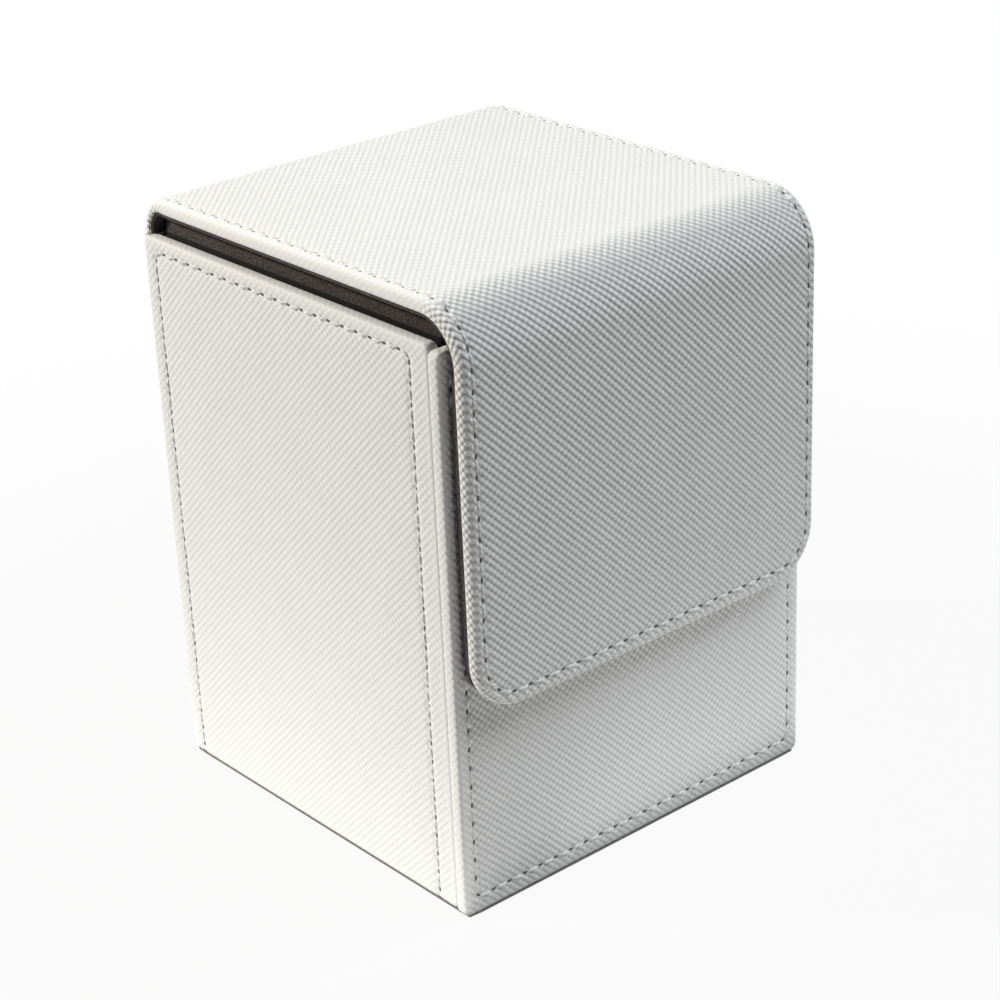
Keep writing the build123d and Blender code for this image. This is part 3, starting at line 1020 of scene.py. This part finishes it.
class CARDBOX_OT_lid_strip(bpy.types.Operator):
    """Makes the one strip of back, lid and flap, in two pieces shaped round the crease and the front bend"""
    bl_idname = "cardbox.lid_strip"
    bl_label = "Lid Strip"
    bl_options = {"REGISTER", "UNDO"}

    def execute(self, context):
        covers = context.scene.card_box_covers
        seams = context.scene.card_box_seams
        leather = finish("strip_ribs", leatherette, sheet_coordinates, covers, "Y", covers.rib_height,
                         covers.valley_shade_colour)
        strip = Strip(covers)
        path = Outline(strip.half - seams.strip_margin, seams.foot_margin, strip.end - seams.flap_margin,
                       seams.corner, covers.flap_corner - seams.flap_margin)
        seam = Seam(path, seams.pitch)
        relief = cover_relief(covers, seams, seam)
        side = edge_lines(covers.edge_roll, seams.strip_margin + SEAM_REACH)
        foot = edge_lines(covers.edge_roll / 2, seams.foot_margin + SEAM_REACH)
        end = edge_lines(covers.edge_roll, seams.flap_margin + SEAM_REACH)
        across = grid_lines(-strip.half, strip.half, side, side)
        breaks = np.array([strip.back_end, strip.lid_start, strip.bend_start, strip.flap_start])
        steps = np.concatenate([breaks - STEP_ROWS / 2, breaks + STEP_ROWS / 2])

        def roll(b):
            return np.minimum(covers.edge_roll, ROLL_SHARE * strip.thickness(b))

        def rings(b):
            thick = strip.thickness(b)
            on_card = ((b > strip.lid_start) & (b < strip.bend_start)) | (b > strip.flap_start)
            pocket = np.where(on_card, SKIN, thick - FLAT_POCKET)
            return hem_rings(thick, np.minimum(covers.hem_roll, HEM_SHARE * thick), pocket)

        def press(b, distance):
            """Flatter on the lid than on the back and the flap, and flattest along the lid's edges."""
            edge = turned(distance)
            lid = strip.on_lid(b)
            top = covers.lid_smooth + (covers.lid_edge_smooth - covers.lid_smooth) * edge
            return lid * top + (1 - lid) * covers.strip_smooth * edge

        def tightness(b):
            return seams.lid_tightness * strip.on_lid(b)

        halves = strip.halves(strip.half, 0, strip.end, covers.foot_corner, covers.flap_corner)
        pieces = (("strip_back", foot, CUT_END, ("back_skin", "back_crease_skin")),
                  ("strip_front", CUT_END, end, ("lid_skin", "front_bend_skin", "flap_skin")))
        for (name, low_edge, high_edge, skins), (outline, turn, bodies, joint) in zip(pieces, halves):
            along = grid_lines(outline.low, outline.high, low_edge, high_edge,
                               extra=np.concatenate([turn, steps]))
            cover = sheet_mesh(f"{name}_cover", outline, across, along, strip.place, roll, rings, relief,
                               press)
            wear_finish(cover, leather)
            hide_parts(*skins)
            for piece in (cover, *sew(name, outline, seam, strip.place, seams, tightness)):
                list(bodies)
                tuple(joint[0])
                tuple(joint[1])
                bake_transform(piece)
        return {"FINISHED"}


class CARDBOX_OT_linings(bpy.types.Operator):
    """Makes the suede lining of crease, lid, front bend and flap, in two pieces shaped round the strip's
    bends
    """
    bl_idname = "cardbox.linings"
    bl_label = "Linings"
    bl_options = {"REGISTER", "UNDO"}

    def execute(self, context):
        inside = context.scene.card_box_inside
        covers = context.scene.card_box_covers
        nap = finish("suede_lining", suede, sheet_coordinates, inside)
        strip = Strip(covers)
        inset = inside.lining_inset
        half = strip.half - inset
        rolled = edge_lines(inside.lining_roll)
        across = grid_lines(-half, half, rolled, rolled, PLAIN_STEP)

        def rings(b):
            return [(0, strip.lining(b, inside.flap_lining))]

        def place(a, b, depth):
            """The strip seen from inside the box, with depth going outwards from the lining's face."""
            return strip.place(-a, b, strip.thickness(b) + strip.lining(b, inside.flap_lining) - depth)

        halves = strip.halves(half, strip.back_end, strip.end - inset, inside.lining_roll,
                              covers.flap_corner - inset)
        pieces = (("lid_back_lining", rolled, CUT_END, ("back_crease_lining",)),
                  ("lid_front_lining", CUT_END, rolled, ("lid_lining", "front_bend_lining", "flap_lining")))
        for (name, low_edge, high_edge, linings), (outline, turn, bodies, joint) in zip(pieces, halves):
            along = grid_lines(outline.low, outline.high, low_edge, high_edge, PLAIN_STEP, turn)
            piece = sheet_mesh(name, outline, across, along, place, even(inside.lining_roll), rings)
            wear_finish(piece, nap)
            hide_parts(*linings)
            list(bodies)
            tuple(joint[0])
            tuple(joint[1])
            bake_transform(piece)
        return {"FINISHED"}


class CARDBOX_OT_liner(bpy.types.Operator):
    """Makes the suede-covered walls and floor of the card compartment"""
    bl_idname = "cardbox.liner"
    bl_label = "Liner"
    bl_options = {"REGISTER", "UNDO"}

    def execute(self, context):
        inside = context.scene.card_box_inside
        nap = finish("suede_liner", suede, sheet_coordinates, inside)
        walls = (
            ("liner_left_wall", (0, 1, 0), (0, 0, 1)),
            ("liner_right_wall", (0, -1, 0), (0, 0, 1)),
            ("liner_front_wall", (-1, 0, 0), (0, 0, 1)),
            ("liner_back_wall", (1, 0, 0), (0, 0, 1)),
            ("liner_floor", (1, 0, 0), (0, 1, 0)),
        )
        for name, across, along in walls:
            self.wall(name, np.array(across), np.array(along), inside, nap)
        return {"FINISHED"}

    def wall(self, name, across, along, inside, nap):
        """One liner sheet with round edges on both faces, laid on the middle of its CAD box."""
        low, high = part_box(name)
        face = np.cross(across, along)
        size = np.array(high - low)
        centre = (np.array(low) + np.array(high)) / 2
        half = abs(size @ across) / 2
        length = abs(size @ along)
        thick = abs(size @ face)
        flat = flat_place(centre - along * length / 2 + face * thick / 2, across, along)
        roll = inside.rim_roll
        room = inside.crease_room
        run = RIM_RUN * room
        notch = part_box("liner_back_wall")[1].z
        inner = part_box("liner_right_wall")[0].x
        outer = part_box("liner_right_wall")[1].x
        # Top of the painted shade on the outer face: the near-black band standing for the groove's shadow
        bare = (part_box("left_side_skin")[1].z - low.z + inside.groove_shade_height) * along[2]

        def place(a, b, depth):
            """The flat place, with the rims drawn in from the panels and from under the crease."""
            points = flat(a, b, depth)
            outside = smoothstep((np.abs(points[:, 0]) - inner) / (outer - inner))
            over = smoothstep((points[:, 2] - notch + RIM_REACH) / RIM_REACH)
            points[:, 0] -= np.sign(points[:, 0]) * inside.rim_groove * outside * over
            near_back = smoothstep((points[:, 1] - high.y + room + run) / run)
            above = smoothstep((points[:, 2] - notch) / room)
            points[:, 1] -= room * near_back * above
            return points

        def rings(b):
            return rolled_rings(np.full(b.shape, thick), roll)

        def press(b, distance):
            """1 on the outer face of an upright wall, up to the top of the near-black band of painted shade
            for the groove's shadow.
            """
            return (b < bare) & (distance <= 0)

        outline = Outline(half, 0, length, roll, roll)
        rolled = edge_lines(roll)
        lines_a = grid_lines(-half, half, rolled, rolled, PLAIN_STEP)
        lines_b = grid_lines(0, length, rolled, rolled, PLAIN_STEP, (bare - STEP_ROWS, bare + STEP_ROWS))
        piece = sheet_mesh(f"{name}_suede", outline, lines_a, lines_b, place, even(roll), rings, press=press)
        wear_finish(piece, nap)
        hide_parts(name)
        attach(piece, "box")


class CARDBOX_OT_bottom_sheet(bpy.types.Operator):
    """Makes the grey sheet under the box, pressed thin where it runs out under the front panel"""
    bl_idname = "cardbox.bottom_sheet"
    bl_label = "Bottom Sheet"
    bl_options = {"REGISTER", "UNDO"}

    def execute(self, context):
        inside = context.scene.card_box_inside
        low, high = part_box("base_sheet")
        length = high.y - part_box("front_skin")[0].y - inside.sheet_inset
        panel = high.y - low.y
        edge = inside.sheet_edge
        rounding = edge / 4
        place = flat_place((0, high.y, low.z), (1, 0, 0), (0, -1, 0))
        outline = Outline(high.x, 0, length, edge, edge)
        rolled = edge_lines(rounding)
        across = grid_lines(-high.x, high.x, rolled, rolled, PLAIN_STEP)
        along = grid_lines(0, length, rolled, rolled, PLAIN_STEP, (panel - STEP_ROWS, panel))

        def rings(b):
            return [(0, np.where(b < panel - STEP_ROWS / 2, high.z - low.z, edge))]
        piece = sheet_mesh("bottom_sheet_card", outline, across, along, place, even(rounding), rings)
        wear_finish(piece, finish("bottom_card", card, object_coordinates, inside.card_colour))
        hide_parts("base_sheet")
        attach(piece, "box")
        return {"FINISHED"}


class CARDBOX_OT_inner_pieces(bpy.types.Operator):
    """Finishes the card cores, the magnets and the cover of the base"""
    bl_idname = "cardbox.inner_pieces"
    bl_label = "Inner Pieces"
    bl_options = {"REGISTER", "UNDO"}

    def execute(self, context):
        inside = context.scene.card_box_inside
        covers = context.scene.card_box_covers
        board = finish("greyboard", card, object_coordinates, inside.board_colour)
        plating = finish("nickel_plating", nickel, object_coordinates, inside)
        leather = finish("base_leatherette", leatherette, object_coordinates, covers, "X",
                         covers.side_rib_height, covers.side_valley_shade_colour)
        finishes = {"base_skin": leather, "front_magnets": plating, "flap_magnets": plating}
        finishes.update({name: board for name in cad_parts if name.endswith("_board")})
        for name, material in finishes.items():
            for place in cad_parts[name].material_slots:
                place.material = material
        return {"FINISHED"}


class CARDBOX_OT_stage(bpy.types.Operator):
    """Sets up the floor, the lamps, the surrounding light and the camera"""
    bl_idname = "cardbox.stage"
    bl_label = "Stage"
    bl_options = {"REGISTER", "UNDO"}

    def execute(self, context):
        scene = context.scene
        stage = scene.card_box_stage
        scene.view_settings.view_transform = "Standard"
        self.floor(stage)
        self.world(scene, stage)
        self.lamps(scene, stage)
        self.camera(scene, stage)
        return {"FINISHED"}

    def floor(self, stage):
        """A pale floor: lit as usual, with a share of plain white mixed in for the camera."""
        line = np.linspace(-FLOOR_REACH, FLOOR_REACH, FLOOR_LINES)
        a, b = np.meshgrid(line, line)
        points = np.stack([a, b, np.zeros(a.shape)], -1).reshape(-1, 3)
        faces = grid_faces(np.arange(a.size).reshape(a.shape)).tolist()
        floor = new_piece("floor", points, faces, points[:, :2])
        material, tree, shader = new_finish("pale_floor")
        feed(tree, shader, {
            "Base Color": shade(stage.floor_colour),
            "Roughness": 1.0,
            "Specular IOR Level": 0.0,
        })
        white = node(tree, "ShaderNodeEmission", {"Color": WHITE, "Strength": 1.0})
        away = node(tree, "ShaderNodeVectorMath", {0: object_coordinates(tree)}, operation="LENGTH")
        pool = {"Value": away.outputs["Value"], "From Min": POOL_START * stage.floor_pool,
                "From Max": stage.floor_pool, "To Min": stage.floor_white, "To Max": 1.0}
        fade = node(tree, "ShaderNodeMapRange", pool, interpolation_type="SMOOTHSTEP").outputs[0]
        share = math_node(tree, "MULTIPLY", seen_directly(tree), fade)
        mixed = node(tree, "ShaderNodeMixShader", {0: share, 1: shader.outputs[0], 2: white.outputs[0]})
        tree.links.new(mixed.outputs[0], tree.nodes["Material Output"].inputs["Surface"])
        floor.data.materials.append(material)

    def world(self, scene, stage):
        """Even light from all round, and plain white where the camera sees it."""
        world = bpy.data.worlds.new("studio")
        world.use_nodes = True
        tree = world.node_tree
        dim = tree.nodes["Background"]
        feed(tree, dim, {"Color": WORLD_COLOUR, "Strength": stage.fill})
        white = node(tree, "ShaderNodeBackground", {"Color": WHITE, "Strength": 1.0})
        mixed = node(tree, "ShaderNodeMixShader",
                     {0: seen_directly(tree), 1: dim.outputs[0], 2: white.outputs[0]})
        tree.links.new(mixed.outputs[0], tree.nodes["World Output"].inputs["Surface"])
        scene.world = world

    def lamps(self, scene, stage):
        """Three soft spot lamps on their ways from the box, and two lamps that lie on the floor by its
        front and left and shine up, unseen by the camera.
        """
        for name, (power, way, size, colour) in LAMPS.items():
            place = LAMP_AIM + Vector(way).normalized() * LAMP_DISTANCE
            self.lamp(scene, name, "SPOT", look_from(place, LAMP_AIM, 0.0), energy=getattr(stage, power),
                      color=colour, shadow_soft_size=size, spot_size=stage.beam, spot_blend=LAMP_BLEND)
        low = CAD_BOX[0]
        depth, length = BOUNCE_DEPTH, BOUNCE_LENGTH
        bounces = (("front_bounce", (BOUNCE_SHIFT, low.y - depth / 2, BOUNCE_HEIGHT), length, depth),
                   ("left_bounce", (low.x - depth / 2, 0, BOUNCE_HEIGHT), depth, length))
        for name, place, wide, deep in bounces:
            upwards = Matrix.Translation(place) @ Matrix.Rotation(math.pi, 4, "X")
            bounce = self.lamp(scene, name, "AREA", upwards, energy=stage.bounce, shape="RECTANGLE",
                               size=wide, size_y=deep)
            bounce.visible_camera = False

    def lamp(self, scene, name, kind, matrix, **values):
        """A lamp of that kind where the matrix puts it, with its own values."""
        data = bpy.data.lights.new(name, kind)
        for key, value in values.items():
            setattr(data, key, value)
        lamp = bpy.data.objects.new(name, data)
        lamp.matrix_world = matrix
        scene.collection.objects.link(lamp)
        return lamp

    def camera(self, scene, stage):
        """The camera on its azimuth, elevation and distance from the aim point."""
        level = math.cos(stage.elevation)
        back = Vector((-math.sin(stage.azimuth) * level, -math.cos(stage.azimuth) * level,
                       math.sin(stage.elevation)))
        aim = Vector(stage.aim)
        data = bpy.data.cameras.new("camera")
        data.lens = stage.lens
        data.sensor_width = SENSOR_WIDTH
        data.clip_start = CLIP_START
        camera = bpy.data.objects.new("camera", data)
        camera.matrix_world = look_from(aim + back * stage.distance, aim, stage.roll)
        scene.collection.objects.link(camera)
        scene.camera = camera


def seen_directly(tree):
    """1 for what the camera, a mirror or glass sees, and 0 for light that falls on other things."""
    path = node(tree, "ShaderNodeLightPath", {})
    shiny = math_node(tree, "MAXIMUM", path.outputs["Is Glossy Ray"], path.outputs["Is Transmission Ray"])
    return math_node(tree, "MAXIMUM", path.outputs["Is Camera Ray"], shiny)


def look_from(place, aim, roll):
    """A matrix at place whose -Z points at aim, leaning to the right by roll."""
    away = (place - aim).normalized()
    right = Vector((0, 0, 1)).cross(away).normalized()
    up = away.cross(right)
    lean_right = right * math.cos(roll) - up * math.sin(roll)
    lean_up = right * math.sin(roll) + up * math.cos(roll)
    turn = Matrix((lean_right, lean_up, away)).transposed()
    return Matrix.Translation(place) @ turn.to_4x4()


SETTINGS = {
    "card_box_covers": CoverSettings,
    "card_box_seams": SeamSettings,
    "card_box_inside": InsideSettings,
    "card_box_stage": StageSettings,
}
OPERATORS = (
    CARDBOX_OT_side_panels,
    CARDBOX_OT_front_panel,
    CARDBOX_OT_lid_strip,
    CARDBOX_OT_linings,
    CARDBOX_OT_liner,
    CARDBOX_OT_bottom_sheet,
    CARDBOX_OT_inner_pieces,
    CARDBOX_OT_stage,
)


class CARDBOX_PT_sidebar(bpy.types.Panel):
    """Lists the settings and the steps of the card box"""
    bl_idname = "CARDBOX_PT_sidebar"
    bl_label = "Card Box"
    bl_space_type = "VIEW_3D"
    bl_region_type = "UI"
    bl_category = "Card Box"

    def draw(self, context):
        for operator in OPERATORS:
            self.layout.operator(operator.bl_idname)
        for key, group in SETTINGS.items():
            column = self.layout.column(align=True)
            column.label(text=group.__doc__)
            for name in group.__annotations__:
                column.prop(getattr(context.scene, key), name)


def register():
    for group in SETTINGS.values():
        bpy.utils.register_class(group)
    for key, group in SETTINGS.items():
        setattr(bpy.types.Scene, key, bpy.props.PointerProperty(type=group))
    for entry in (*OPERATORS, CARDBOX_PT_sidebar):
        bpy.utils.register_class(entry)


def unregister():
    for entry in (CARDBOX_PT_sidebar, *reversed(OPERATORS)):
        bpy.utils.unregister_class(entry)
    for key, group in SETTINGS.items():
        delattr(bpy.types.Scene, key)
        bpy.utils.unregister_class(group)


def main():
    """Builds every piece in order."""
    register()
    bpy.ops.cardbox.side_panels()
    bpy.ops.cardbox.front_panel()
    bpy.ops.cardbox.lid_strip()
    bpy.ops.cardbox.linings()
    bpy.ops.cardbox.liner()
    bpy.ops.cardbox.bottom_sheet()
    bpy.ops.cardbox.inner_pieces()
    bpy.ops.cardbox.stage()
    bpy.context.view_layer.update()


if __name__ == "__main__":
    main()
